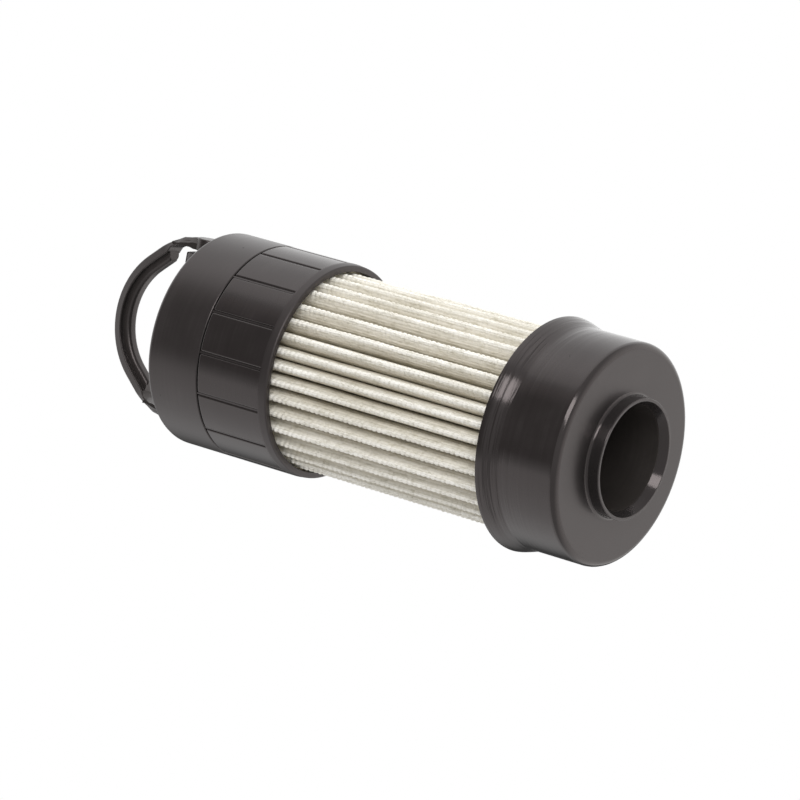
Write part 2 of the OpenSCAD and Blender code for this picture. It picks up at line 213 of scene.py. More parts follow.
def mesh_cloth():
    """Cream mesh with painted shade, darker between the wires and toward the valleys, with the weft showing
    on the crests only.
    """
    mat, tree, shader = new_material("pleat_mesh_finish")
    where = add(tree, "TexCoord").outputs["Object"]
    weave = add(tree, "UVMap", uv_map="Weave").outputs["UV"]
    depth = add(tree, "Attribute", attribute_name="Depth", attribute_type="GEOMETRY").outputs["Fac"]
    across = add(tree, "SeparateXYZ", {0: weave})
    warp = humps(tree, across.outputs["X"], WARP)
    weft = humps(tree, across.outputs["Y"], WEFT)
    crest = climb(tree, depth, CREST_FROM, CREST)
    weft = scaled(tree, math_node(tree, "SUBTRACT", weft, MEAN_HUMP), crest, MEAN_HUMP)
    height = scaled(tree, warp, 0.5, math_node(tree, "MULTIPLY", weft, 0.5))

    grain = noise(tree, stretched(tree, where, (900.0, 900.0, 260.0)), 1.0, rough=0.6)
    patch = noise(tree, stretched(tree, where, (60.0, 60.0, 22.0)), 1.0, rough=0.6)
    fibre = noise(tree, stretched(tree, weave, (1.5, 0.06, 1.0)), 1.0, rough=0.6)
    # painted shade: the weave is darker where it is low, between the wires
    colour = ramp(tree, height, [(0.05, (0.74, 0.72, 0.65)), (0.45, (0.955, 0.935, 0.885))])
    shades = [
        ramp(tree, patch, [(0.35, (0.88, 0.87, 0.84)), (0.62, WHITE)]),
        ramp(tree, grain, [(0.34, (0.8, 0.79, 0.75)), (0.5, WHITE)]),
        # painted shade: the cloth darkens from the crests down into the valleys
        ramp(tree, depth, [(0.0, (0.26, 0.23, 0.17)), (0.3, (0.58, 0.55, 0.48)), (0.62, (0.85, 0.83, 0.785)),
                           (0.82, (0.94, 0.93, 0.90)), (0.95, (1.0, 1.0, 0.99))]),
        ramp(tree, fibre, [(0.34, (0.83, 0.82, 0.79)), (0.56, WHITE)]),
    ]
    for shade in shades:
        colour = mix_colour(tree, 1.0, colour, shade, "MULTIPLY")
    tree.links.new(colour, shader.inputs["Base Color"])
    tree.links.new(scaled(tree, grain, CLOTH_ROUGH_SPREAD, CLOTH_ROUGH), shader.inputs["Roughness"])
    shader.inputs["Specular IOR Level"].default_value = CLOTH_SPECULAR
    woven = bump(tree, shader, height, WOVEN_RELIEF, WOVEN_BUMP)
    bump(tree, shader, grain, GRAIN_RELIEF, GRAIN_BUMP, woven)
    return mat


BLACK = (0.0205, 0.0185, 0.0183)
cup_finish = plastic("moulded_cup_finish", BLACK, 0.1, 26.0, 480.0, fade=(12.0, 34.0), face_rough=0.2)
head_finish = plastic("moulded_head_finish", BLACK, 0.27, streaks=0.1)
collar_finish = plastic("moulded_collar_finish", BLACK, 0.1, streaks=0.1, rim=(150.4, 148.6, 0.28))
bail_finish = plastic("moulded_bail_finish", (0.0225, 0.0205, 0.0195), 0.28, streaks=0.2)
# painted light: the same black plastic, lighter and warmer inside the bore, standing in for light that
# reaches into it
bore_painted_light_finish = plastic("moulded_bore_painted_light", (0.042, 0.037, 0.034), 0.3, streaks=0.2)
valve_finish = plastic("valve_finish", (0.035, 0.035, 0.037), 0.36, streaks=0.3)
mark_finish = simple("gate_mark_finish", (0.012, 0.011, 0.011), 0.55)
steel_finish = simple("zinc_sheet_finish", (0.55, 0.56, 0.57), 0.38, metallic=1.0, scale=120.0, spread=0.12)
wire_finish = simple("spring_wire_finish", (0.48, 0.49, 0.5), 0.3, metallic=1.0, scale=500.0, spread=0.15)
glue_finish = simple("adhesive_finish", (0.66, 0.60, 0.46), 0.42, scale=90.0, spread=0.16, depth=0.0002)
rubber_finish = simple("rubber_finish", (0.014, 0.014, 0.014), 0.5, scale=700.0, spread=0.3)
media_finish = mesh_cloth()


# Mesh helpers
def clamped(value):
    return max(0.0, min(1.0, value))


def new_object(name, mesh):
    ob = bpy.data.objects.new(name, mesh)
    bpy.context.scene.collection.objects.link(ob)
    return ob


def new_mesh(name, verts, faces, mats):
    """Smooth mesh from points in millimetres."""
    mesh = bpy.data.meshes.new(name)
    mesh.from_pydata([(x * MM, y * MM, z * MM) for x, y, z in verts], [], faces)
    for mat in mats:
        mesh.materials.append(mat)
    mesh.polygons.foreach_set("use_smooth", [True] * len(mesh.polygons))
    return mesh


SHARP_ANGLE, FACE_WEIGHT = 34.0, 80


def make_piece(name, build, mats, body="element"):
    mesh = new_mesh(name, build.v, build.f, mats)
    mesh.polygons.foreach_set("material_index", build.m)
    mesh.validate()
    mesh.set_sharp_from_angle(angle=math.radians(SHARP_ANGLE))
    mesh.update()
    ob = new_object(name, mesh)
    weighted = ob.modifiers.new("weighted", "WEIGHTED_NORMAL")
    weighted.keep_sharp = True
    weighted.weight = FACE_WEIGHT
    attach(ob, body)
    return ob


def rounded(points, steps=4):
    """Closed outline of (x, y, radius) points with each corner replaced by an arc.

    An arc takes less than half of each edge that it touches.
    """
    out = []
    reach = 0.48
    for i, (x, y, radius) in enumerate(points):
        corner = Vector((x, y))
        if radius <= 0:
            out.append((x, y))
            continue
        back = Vector(points[i - 1][:2]) - corner
        on = Vector(points[(i + 1) % len(points)][:2]) - corner
        back_length, on_length = back.length, on.length
        back.normalize()
        on.normalize()
        half = back.angle(on) / 2
        cut = min(radius / math.tan(half), back_length * reach, on_length * reach)
        radius = cut * math.tan(half)
        centre = corner + (back + on).normalized() * (radius / math.sin(half))
        first = corner + back * cut - centre
        last = corner + on * cut - centre
        turn = first.angle_signed(last)
        for j in range(steps + 1):
            spoke = first.copy()
            spoke.rotate(Matrix.Rotation(-turn * j / steps, 2))
            out.append(tuple(centre + spoke))
    return out


def ring_points(x, radius, count, side):
    """Circle around the bail's pin, at distance x from the middle."""
    angles = [2 * math.pi * i / count for i in range(count)]
    return [(side * x, radius * math.cos(a), PIN_Z + radius * math.sin(a)) for a in angles]


class Build:
    """Vertices, faces and material numbers of one piece, in millimetres."""

    def __init__(self):
        self.v, self.f, self.m = [], [], []

    def face(self, corners, mat=0):
        self.f.append(tuple(corners))
        self.m.append(mat)

    def lathe(self, profile, mats=None):
        """Closed profile of (radius, height) turned around the axis, with a material number per edge."""
        base, n = len(self.v), len(profile)
        for i in range(TURN_SEGS):
            a = 2 * math.pi * i / TURN_SEGS
            self.v += [(r * math.cos(a), r * math.sin(a), z) for r, z in profile]
        for i in range(TURN_SEGS):
            here, there = base + i * n, base + (i + 1) % TURN_SEGS * n
            for k in range(n):
                after = (k + 1) % n
                self.face((here + k, there + k, there + after, here + after), mats[k] if mats else 0)

    def skin(self, rings, closed=False, flip=False):
        """Skin over rings of equal length, which ends in flat caps or meets itself."""
        if flip:
            rings = [list(reversed(ring)) for ring in rings]
        base, n, count = len(self.v), len(rings[0]), len(rings)
        for ring in rings:
            self.v += [tuple(p) for p in ring]
        for i in range(count if closed else count - 1):
            here, there = base + i * n, base + (i + 1) % count * n
            for k in range(n):
                after = (k + 1) % n
                self.face((here + k, here + after, there + after, there + k))
        if not closed:
            self.face([base + k for k in reversed(range(n))])
            self.face([base + (count - 1) * n + k for k in range(n)])


# Bottom cap: cup with its flared lip, nozzle boss and inner neck
def flare(share):
    """Widening of the cup's flare from 0 to 1."""
    return share ** FLARE_POWER / (share ** FLARE_POWER + (1 - share) ** FLARE_POWER)


def bottom_cap():
    steps, lip_top = 16, LIP_Z - 0.02
    widths = [(LIP_R - CUP_R) * flare(i / steps) for i in range(steps + 1)]
    heights = [LIP_Z - FLARE_H * (1 - i / steps) for i in range(steps + 1)]
    neck_ro, groove_top = BORE_R + NECK_T, GROOVE_Z + GROOVE_H
    land_r, groove_r = BORE_R + LAND_D, BORE_R + GROOVE_D
    outer = [(MOUTH_R, 0.0, 0.25), (BOSS_R, 0.0, 0.4), (BOSS_R, FACE_Z, 1.3), (CUP_R, FACE_Z, 3.0)]
    outer += [(CUP_R + wide, z - 0.5, 0) for wide, z in zip(widths, heights)]
    lip = [(LIP_R - 0.05, LIP_Z - 0.2, 0), (LIP_R - 0.25, lip_top, 0), (LIP_R - 2.2, lip_top, 0)]
    inner = [(CUP_RI + wide, z, 0) for wide, z in list(zip(widths, heights))[-2::-1]]
    neck = [(CUP_RI, FLOOR_Z, 1.0), (neck_ro, FLOOR_Z, 0.6), (neck_ro, NECK_Z, 0.5)]
    neck += [(BORE_R + 1.0, NECK_Z, 0.2), (land_r, NECK_Z - 0.5, 0), (land_r, groove_top, 0)]
    bore = [(groove_r, groove_top, 0), (groove_r, GROOVE_Z, 0), (BORE_R, GROOVE_Z, 0), (BORE_R, LEAD_Z, 1.2)]
    profile = rounded(outer + lip + inner + neck + bore, 6)
    # faces inside the bore, which get the black plastic painted lighter
    inside = [r < BORE_R + 0.2 and z > LEAD_Z - 0.1 for r, z in profile]
    build = Build()
    build.lathe(profile, [int(here and after) for here, after in zip(inside, inside[1:] + inside[:1])])
    ob = make_piece("cap_lower", build, [cup_finish, bore_painted_light_finish])
    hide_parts("bottom_cap")


# Collar: rim, low cup and neck in one turn, with sixteen rounded fingers on it
def finger(build, mid, half):
    """Finger around the angle mid, rounded at its upper corners and along its outer edges."""
    corner, edge = 0.9, 0.7
    left = []
    for a in [math.radians(18 * i) for i in range(6)]:
        c, s = math.cos(a), math.sin(a)
        left.append((-half + corner * (1 - c), FINGER_Z - corner * (1 - s), -c, s))
    top = [(-half + corner + (2 * half - 2 * corner) * i / 8, FINGER_Z, 0.0, 1.0) for i in range(1, 8)]
    right = [(-s, z, -nx, nz) for s, z, nx, nz in reversed(left)]
    contour = [(-half, SLIT_Z, -1.0, 0.0)] + left + top + right + [(half, SLIT_Z, 1.0, 0.0)]

    # radius of each level, and how far its contour is drawn in
    levels = [(FINGER_RI, 0.2), (FINGER_RI + 0.2, 0.0), (CAP_R - edge, 0.0)]
    levels += [(CAP_R - edge * (1 - math.sin(a)), edge * (1 - math.cos(a)))
               for a in [math.radians(15 * i) for i in range(1, 7)]]
    base, n = len(build.v), len(contour)
    for radius, inset in levels:
        for s, z, nx, nz in contour:
            a = mid + (s - nx * inset) / CAP_R
            build.v.append((radius * math.cos(a), radius * math.sin(a), z - nz * inset))
    for i in range(len(levels) - 1):
        for k in range(n - 1):
            here, there = base + i * n + k, base + (i + 1) * n + k
            build.face((here, there, there + 1, here + 1))

    # inner and outer face, each a strip between the contour and the finger's foot
    for i in (0, len(levels) - 1):
        upper, lower = base + i * n, len(build.v)
        radius, inset = levels[i]
        feet = [mid + (s - nx * inset) / CAP_R for s, z, nx, nz in contour[1:-1]]
        build.v += [(radius * math.cos(a), radius * math.sin(a), SLIT_Z) for a in feet]
        for k in range(len(feet) - 1):
            quad = (lower + k, lower + k + 1, upper + k + 2, upper + k + 1)
            build.face(quad if i else tuple(reversed(quad)))


def finger_collar():
    shelf_top, neck_top, seat = SHELF_Z + SHELF_T, SHELF_Z + SHELF_NECK_H, SLIT_Z - 0.6
    profile = [(POT_RI, RIM_Z, 0.3), (CAP_R - 0.4, RIM_Z, 0.8), (CAP_R, RIM_Z + 3.6, 3.0), (CAP_R, SLIT_Z, 0),
               (FINGER_RI, SLIT_Z, 0), (FINGER_RI, seat, 0), (POT_RO, seat, 0), (POT_RO, shelf_top, 0.4),
               (NECK_RO, shelf_top, 0.3), (NECK_RO, neck_top, 0.4), (NECK_RI, neck_top, 0.4),
               (NECK_RI, SHELF_Z, 0.3), (POT_RI, SHELF_Z, 0.3)]
    build = Build()
    build.lathe(rounded(profile, 5))
    half = math.pi * CAP_R / FINGERS - SLIT_W / 2
    for i in range(FINGERS):
        finger(build, 2 * math.pi * (i + 0.5) / FINGERS, half)
    ob = make_piece("finger_ring", build, [collar_finish])
    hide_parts("finger_collar")


# Head: band, end wall, spigot and valve tube, with two ears for the bail
EAR_X, EAR_T, EAR_R, HOLE_R = 32.0, 5.0, 8.5, 3.2
EAR_FOOT, EAR_SLOPE, EAR_LEAN, EAR_EDGE, HOLE_EDGE = 0.5, 2.12, 0.35, 0.5, 0.4


def ear_reach(angle, inset):
    """Distance from the pin's axis to the ear's edge in this direction, where 90 degrees is up."""
    radius, drop = EAR_R - inset, PIN_Z - END_Z + EAR_FOOT
    c, s = math.cos(angle), math.sin(angle)
    if s >= 0:
        return radius
    reach = radius / abs(c) if abs(c) > 1e-6 else math.inf
    return min(reach, drop / -s)


def ear(build, side):
    """Skin of rings around the pin, from the hole over the inner face, the edge and the outer face."""
    count = 96
    corner = math.atan2(PIN_Z - END_Z + EAR_FOOT, EAR_R)
    angles = [2 * math.pi * i / count for i in range(count)]
    angles = sorted(angles + [math.pi + corner, 2 * math.pi - corner])
    inner_x, outer_x, lean_to = EAR_X - EAR_T, EAR_X - EAR_LEAN, 2.6

    def edge(degrees):
        a = math.radians(degrees)
        return EAR_EDGE * (1 - math.cos(a)), EAR_EDGE * (1 - math.sin(a))

    # each ring has its x, its distance from the ear's edge, and its radius where it belongs to the hole
    rings = [(inner_x + HOLE_EDGE, None, HOLE_R), (inner_x, None, HOLE_R + HOLE_EDGE)]
    rings += [(inner_x, 1.6, None), (inner_x, EAR_EDGE, None)]
    rings += [(inner_x + rise, inset, None) for rise, inset in map(edge, (30, 60, 90))]
    rings += [(EAR_X - 2.6, 0.0, None)]
    rings += [(outer_x - drop, inset, None) for inset, drop in map(edge, (0, 30, 60, 90))]
    for inset in (1.2, 1.9, lean_to, 3.4):
        rings.append((EAR_X - EAR_LEAN * max(0.0, 1 - inset / lean_to), inset, None))
    rings += [(EAR_X, None, HOLE_R + HOLE_EDGE), (EAR_X - HOLE_EDGE, None, HOLE_R)]
    out = []
    for x, inset, hole in rings:
        ring = []
        for a in angles:
            reach = hole if inset is None else ear_reach(a, inset)
            y, z = reach * math.cos(a), reach * math.sin(a)
            sloped = EAR_X - max(0.0, z - (EAR_R - EAR_SLOPE))
            ring.append((side * min(x, sloped), y, PIN_Z + z))
        out.append(ring)
    build.skin(out, closed=True, flip=side < 0)


def key(build, mid):
    """Rib on the spigot that fills the lower part of one slit, with rounded ends."""
    half, end, corner = SLIT_W / 2 - 0.05, 0.5, 0.3
    z0, z1 = SLIT_Z + 0.08, BAND_Z + 0.2
    top_r, bevel = CAP_R - KEY_DROP, 0.06
    rings = []
    for radius, cut in ((CAP_R - 1.4, 0.0), (top_r - bevel, 0.0), (top_r, bevel)):
        left, right = -half + cut, half - cut
        outline = [(left, z0 + end), (left + corner, z0 + cut), (right - corner, z0 + cut), (right, z0 + end),
                   (right, z1), (left, z1)]
        outline = [(mid + s / CAP_R, z) for s, z in outline]
        rings.append([(radius * math.cos(a), radius * math.sin(a), z) for a, z in outline])
    build.skin(rings)


def head_cap():
    tube_z = SHELF_Z + SHELF_T + 1.0
    spigot_z, ceiling = tube_z - 0.7, END_Z - WALL_T
    seat_z, guide_r = ceiling - SEAT_H, VALVE_RI - GUIDE_STEP
    spigot_ro, spigot_ri = FINGER_RI - 0.15, FINGER_RI - 2.55
    profile = [(PORT_R, END_Z, 0.4), (CAP_R, END_Z, 2.0), (CAP_R, BAND_Z, 0.65), (spigot_ro, BAND_Z, 0),
               (spigot_ro, spigot_z, 0.3), (spigot_ri, spigot_z, 0.3), (spigot_ri, ceiling, 0.5),
               (TUBE_RO, ceiling, 0.5), (TUBE_RO, tube_z, 0.5), (VALVE_RI, tube_z, 0.3),
               (VALVE_RI, GUIDE_Z, 0), (guide_r, GUIDE_Z, 0), (guide_r, ceiling, 0.4),
               (SEAT_R, ceiling, 0.2), (SEAT_R, seat_z, 0.2), (PORT_R, seat_z, 0.2)]
    build = Build()
    build.lathe(list(reversed(rounded(profile, 6))))
    for side in (1, -1):
        ear(build, side)
    for i in range(FINGERS):
        key(build, 2 * math.pi * i / FINGERS)
    ob = make_piece("cap_head", build, [head_finish])
    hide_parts("head_cap")


# Moulding gates: angle in degrees, height, radius of the surface and size of the mark
GATES = ((-21.5, 189.5, CAP_R, 0.75), (-120.5, 200.2, CAP_R, 0.6), (-36.7, 21.0, CUP_R, 0.7))
GATE_POINTS = 20


def gate_marks():
    """Small round sinks left by the moulding gates."""
    build = Build()
    for azimuth, z, radius, size in GATES:
        mid = math.radians(azimuth)
        start = len(build.v)
        for share, lift in ((0.0, -0.03), (0.6, 0.0), (1.0, 0.035)):
            for i in range(GATE_POINTS):
                t = 2 * math.pi * i / GATE_POINTS
                reach = size * (1.0 - share * 0.75) * (1 + 0.25 * math.sin(3 * t + azimuth))
                a = mid + reach * math.cos(t) / radius
                r = radius + lift
                build.v.append((r * math.cos(a), r * math.sin(a), z + 0.7 * reach * math.sin(t)))
        for k in range(2):
            ring = start + k * GATE_POINTS
            for i in range(GATE_POINTS):
                j = (i + 1) % GATE_POINTS
                build.face((ring + i, ring + j, ring + GATE_POINTS + j, ring + GATE_POINTS + i))
        build.face([start + 2 * GATE_POINTS + i for i in range(GATE_POINTS)])
    ob = make_piece("gate_marks", build, [mark_finish])


# Bail: T-shaped arch with pads, round eyes and pins, shifted along the pins by its play
BAIL_W, BAIL_H, SHOULDER_R, STRAP_T, PAD_T = 72.4, 38.2, 27.0, 3.4, 1.5
PLAY = 0.35
EYE_R, PIN_R, RIB_FOOT, RIB_D, RIB_HALF = 5.4, 3.0, 16.6, 6.7, 2.8
THIN_D, THIN_FROM, THIN_RISE, THIN_TO, THIN_FALL = 1.6, 5.5, 5, 19.5, 2.5
CROWN_SINE, CROWN_SLOPE, ARC_STEPS = 0.65, 1 / 7, 14
SH_X = BAIL_W / 2 - SHOULDER_R
SH_DROP = SH_X * CROWN_SLOPE
CROWN_R = SHOULDER_R + CROWN_SINE * math.hypot(SH_X, SH_DROP)
CROWN_Z = BAIL_H - CROWN_R
BLEND = math.asin(CROWN_SINE) + math.atan(CROWN_SLOPE)


def arch_stations():
    """Points of the outer arch from the left foot to the right foot, each with its inward normal."""
    shares = [i / ARC_STEPS for i in range(ARC_STEPS + 1)]
    half = [(0.0, CROWN_Z, CROWN_R, BLEND * share) for share in shares]
    rest = math.pi / 2 - BLEND
    half += [(SH_X, CROWN_Z - SH_DROP, SHOULDER_R, BLEND + rest * share) for share in shares]
    right = [(x + r * math.sin(a), z + r * math.cos(a), -math.sin(a), -math.cos(a)) for x, z, r, a in half]
    right.append((BAIL_W / 2, 0.0, -1.0, 0.0))
    return [(-x, z, -nx, nz) for x, z, nx, nz in reversed(right[1:])] + right


def strap(build, stations):
    """Flat outer band with slanted sides, thinner inside each leg between the eye and the rib."""
    section = rounded([(-0.4, -3.5, 0.9), (-0.4, 3.5, 0.9), (STRAP_T, 4.5, 0.4), (STRAP_T, -4.5, 0.4)], 6)
    rings = []
    for x, z, nx, nz in stations:
        thin = THIN_D * clamped(min((z - THIN_FROM) / THIN_RISE, (THIN_TO - z) / THIN_FALL))
        depths = [(o - thin if o > 1 else o, y) for o, y in section]
        rings.append([(x + nx * o, y, PIN_Z + z + nz * o) for o, y in depths])
    build.skin(rings)


def rib(build, stations):
    """Inner rib of the arch, cut level above the legs."""
    root, edge = 1.2, 1.7
    section = [(root, -RIB_HALF, 0), (root, RIB_HALF, 0), (RIB_D, RIB_HALF, edge), (RIB_D, -RIB_HALF, edge)]
    section = rounded(section, 6)
    rings = []
    for x, z, nx, nz in stations:
        if max(z + nz * o for o, y in section) > RIB_FOOT:
            rings.append([(x + nx * o, y, PIN_Z + max(RIB_FOOT, z + nz * o)) for o, y in section])
    build.skin(rings)


def leg_pad(build, side):
    """Pad outside one leg, with slanted edges, from the pin to where it sinks into the turning arch."""
    top, sunk_x = 15.8, 33.8
    shape = [(-2.4, 0.0), (PAD_T, 0.0), (PAD_T, 5.0), (1.25, 6.4), (0.85, 7.8), (0.62, 9.2)]
    shape += [(0.25, 11.3), (-0.85, 13.4), (-2.5, top), (-3.4, top), (-2.9, 5.0)]
    shape = [(BAIL_W / 2 + dx, z) for dx, z in shape]
    rings = []
    for y, inset in ((-4.4, 2.3), (-2.7, 0.25), (-2.2, 0.0), (2.2, 0.0), (2.7, 0.25), (4.4, 2.3)):
        rings.append([(side * (x - inset * clamped((x - sunk_x) / 2)), y, PIN_Z + z) for x, z in shape])
    build.skin(rings, flip=side > 0)


def eye_and_pin(build, side):
    inner_x, outer_x = BAIL_W / 2 - STRAP_T, BAIL_W / 2 + PAD_T + 0.2
    turn = rounded([(inner_x, 0, 0), (outer_x, 0, 0), (outer_x, EYE_R, 0.7), (inner_x, EYE_R, 0.3)], 4)
    build.skin([ring_points(x, r, 64, side) for x, r in turn if r > 0.01], flip=side > 0)
    tip_x = EAR_X - EAR_T + 0.5
    pin = [(inner_x + 1.0, PIN_R), (tip_x + 0.5, PIN_R), (tip_x, PIN_R - 0.4)]
    build.skin([ring_points(x, r, 48, side) for x, r in pin], flip=side < 0)


def bail_handle():
    build = Build()
    stations = arch_stations()
    strap(build, stations)
    rib(build, stations)
    for side in (1, -1):
        leg_pad(build, side)
        eye_and_pin(build, side)
    build.v = [(x + PLAY, y, z) for x, y, z in build.v]
    ob = make_piece("bail", build, [bail_finish], body="bail")
    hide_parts("bail_handle")


# Pleats: one folded sheet faced with wire mesh, each ridge slightly off its neighbours
TIP_SHIFT = {-15: -0.5, -14: -0.3, -13: 0.65, -12: 1.5, -11: 1.25, -10: 0.9, -9: 0.4, -8: -0.75, -7: -1.65,
             -6: -1.65, -5: -1.5}
FIRST_FOLD, TURN_OF_FOLD = 3.4, 10
ANY_SHIFT, ANY_SINK, ANY_PHASE = (-0.9, 0.9), (-0.12, 0.05), (0, 6.28)
WAVES, WAVE_SIZE, WAVE_LENGTH, WAVE_R = 3, (0.02, 0.08), (45, 110), 38.0
VALLEY_R, MIDDLE_R, TIP_R, VALLEY_GAP = 31.0, 37.7, 1.2, 1.3
FLANKS = ((33.2, 0.96, 7.0), (35.0, 0.86, 5.2), (37.0, 0.64, 3.4))
VALLEY_WAY, FOLD_WAY, FIRST_WAY = 9.2, 20, 100
TIP_TEETH, FLANK_TEETH = 0.46, 0.08
TEETH_LO, TEETH_HI = 36.0, 148.0
WIDE_ROWS, WIDE_STEP, ROW_STEP, ROWS_TO, LAST_ROW = 15, 1.7, 0.45, 147.4, 149.3


def draw_folds():
    """Each fold's shift in degrees, long waves, outward offset of the tip and phase of the mesh."""
    rnd = random.Random(7)
    folds = []
    for k in range(FOLDS):
        signed = k if k < FOLDS / 2 else k - FOLDS
        shift = TIP_SHIFT.get(signed, rnd.uniform(*ANY_SHIFT))
        waves = []
        for _ in range(WAVES):
            waves.append((rnd.uniform(*WAVE_SIZE), rnd.uniform(*ANY_PHASE), rnd.uniform(*WAVE_LENGTH)))
        folds.append((shift, waves, rnd.uniform(*ANY_SINK), rnd.uniform(*ANY_PHASE)))
        rnd.random()  # one more draw per fold, which the folds after it depend on
    return folds


def tip_angle(folds, k, z):
    shift, waves = folds[k % FOLDS][:2]
    wobble = sum(size * math.sin(2 * math.pi * z / length + phase) for size, phase, length in waves)
    return math.radians(TURN_OF_FOLD * k + FIRST_FOLD + shift) + wobble / WAVE_R


def tooth(z, way, phase, size):
    """Height of the mesh over the fold, with weft teeth that are uneven along it."""
    wave = abs(math.sin(math.pi * (z + WEFT_SLOPE * way + phase) / WEFT)) - MEAN_HUMP
    wave *= 0.75 + 0.3 * math.sin(0.83 * z + 2.1 * phase) + 0.2 * math.sin(2.9 * z + 0.9 * way + phase)
    return size * wave + 0.04 * math.sin(9.1 * z + 5 * way + phase)


def fold_section(half, room, sink):
    """Points between two valleys: distance out and aside, way along the cloth, normal, size of teeth."""
    radius = min(TIP_R, room / 2 - VALLEY_GAP)
    centre = PLEAT_R + sink - 0.1 - radius
    left = [(r, -half * r * share, -way, -math.pi / 2, FLANK_TEETH) for r, share, way in FLANKS]
    tip = [(centre + radius * math.cos(a), radius * math.sin(a), radius * a, a, TIP_TEETH)
           for a in [math.radians(degrees) for degrees in range(-96, 97, 16)]]
    right = [(r, half * r * share, way, math.pi / 2, FLANK_TEETH) for r, share, way in reversed(FLANKS)]
    return left + tip + right


def pleat_heights():
    """Heights of the mesh's rows: wide inside the cup, narrow where the teeth show."""
    heights = [PACK_LO + WIDE_STEP * i for i in range(WIDE_ROWS)]
    z = heights[-1]
    while z < ROWS_TO:
        z += ROW_STEP
        heights.append(z)
    return heights + [LAST_ROW, PACK_HI]


def half_of_pleats(name, folds, ks):
    """One half of the pack's skin, from the valley before its first fold to the one after its last."""
    verts, uvs, depth = [], [], []
    heights = pleat_heights()

    def valley(k, z, way, shown_z):
        a = (tip_angle(folds, k, z) + tip_angle(folds, k + 1, z)) / 2
        verts.append((VALLEY_R * math.cos(a), VALLEY_R * math.sin(a), z))
        uvs.append((way, shown_z))
        depth.append(0.0)

    for z in heights:
        for k in ks:
            before, tip, after = [tip_angle(folds, j, z) for j in (k - 1, k, k + 1)]
            lo, hi = (before + tip) / 2, (tip + after) / 2
            sink, phase = folds[k % FOLDS][2:]
            way_0 = FIRST_WAY + FOLD_WAY * k
            ct, st = math.cos(tip), math.sin(tip)
            valley(k - 1, z, way_0 - VALLEY_WAY, z - WEFT_SLOPE * VALLEY_WAY + phase)
            for u, w, way, normal, teeth in fold_section((hi - lo) / 2, (hi - lo) * MIDDLE_R, sink):
                if TEETH_LO < z < TEETH_HI:
                    rise = tooth(z, way, phase, teeth)
                    u += rise * math.cos(normal)
                    w += rise * math.sin(normal)
                verts.append((u * ct - w * st, u * st + w * ct, z))
                uvs.append((way + way_0, z + WEFT_SLOPE * way + phase))
                depth.append(clamped((u - VALLEY_R) / (PLEAT_R - VALLEY_R)))
        valley(ks[-1], z, FIRST_WAY + FOLD_WAY * ks[-1] + VALLEY_WAY, z)

    row = len(verts) // len(heights)
    faces = []
    for i in range(len(heights) - 1):
        for k in range(row - 1):
            here, above = i * row + k, (i + 1) * row + k
            faces.append((here, here + 1, above + 1, above))
    mesh = new_mesh(name, verts, faces, [media_finish])
    corners = [0] * len(mesh.loops)
    mesh.loops.foreach_get("vertex_index", corners)
    weave = mesh.uv_layers.new(name="Weave")
    weave.data.foreach_set("uv", [value for corner in corners for value in uvs[corner]])
    # Depth: how far out of the valley each point lies, for the weft on the crests and the painted shade in
    # the valleys
    mesh.attributes.new("Depth", "FLOAT", "POINT").data.foreach_set("value", depth)
    ob = new_object(name, mesh)
    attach(ob, "element")
    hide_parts("pleat_pack")


def pleats():
    folds = draw_folds()
    quarter = FOLDS // 4
    half_of_pleats("pleats_front", folds, range(-quarter, quarter))
    half_of_pleats("pleats_back", folds, range(quarter, 3 * quarter))


bottom_cap()
finger_collar()
head_cap()
gate_marks()
bail_handle()
pleats()

# Finishes of the CAD nodes that stay
KEPT = {
    "nozzle_oring": rubber_finish, "neck_oring": rubber_finish, "poppet_seal": rubber_finish,
    "lower_potting": glue_finish, "upper_potting": glue_finish, "seam_bead": glue_finish,
    "core_tube": steel_finish, "bypass_spring": wire_finish, "retaining_ring": wire_finish,
    "bypass_poppet": valve_finish, "spring_guide": valve_finish,
}
for node, finish in KEPT.items():
    ob = nodes[node]
    if not ob.material_slots:
        ob.data.materials.append(None)
    for slot in ob.material_slots:
        slot.link = "OBJECT"
        slot.material = finish

# Stage: pale floor, two soft boxes, and a white surround with darker parts, in metres
scene = bpy.context.scene
scene.view_settings.view_transform = "Standard"
FLOOR_HALF, FLOOR_COLOUR = 3.0, (0.86, 0.86, 0.85, 1)


def pale_floor():
    """Floor that only the camera sees, and only from above: the photograph looks up at the element."""
    corners = [(x * FLOOR_HALF, y * FLOOR_HALF, 0) for x, y in ((-1, -1), (1, -1), (1, 1), (-1, 1))]
    mesh = bpy.data.meshes.new("floor")
    mesh.from_pydata(corners, [], [(0, 1, 2, 3)])
    mat = bpy.data.materials.new("floor_finish")
    mat.use_nodes = True
    tree = mat.node_tree
    tree.nodes.clear()
    out = tree.nodes.new("ShaderNodeOutputMaterial")
    above = math_node(tree, "SUBTRACT", 1.0, add(tree, "NewGeometry").outputs["Backfacing"])
    seen = math_node(tree, "MULTIPLY", add(tree, "LightPath").outputs["Is Camera Ray"], above)
    clear = add(tree, "BsdfTransparent").outputs[0]
    matt = add(tree, "BsdfDiffuse", {"Color": FLOOR_COLOUR}).outputs[0]
    mixed = add(tree, "MixShader", {0: seen, 1: clear, 2: matt}).outputs[0]
    tree.links.new(mixed, out.inputs["Surface"])
    mesh.materials.append(mat)
    floor = new_object("floor", mesh)


LIGHT_TARGET, LIGHT_DISTANCE = Vector((0, 0, 0.12)), 1.6


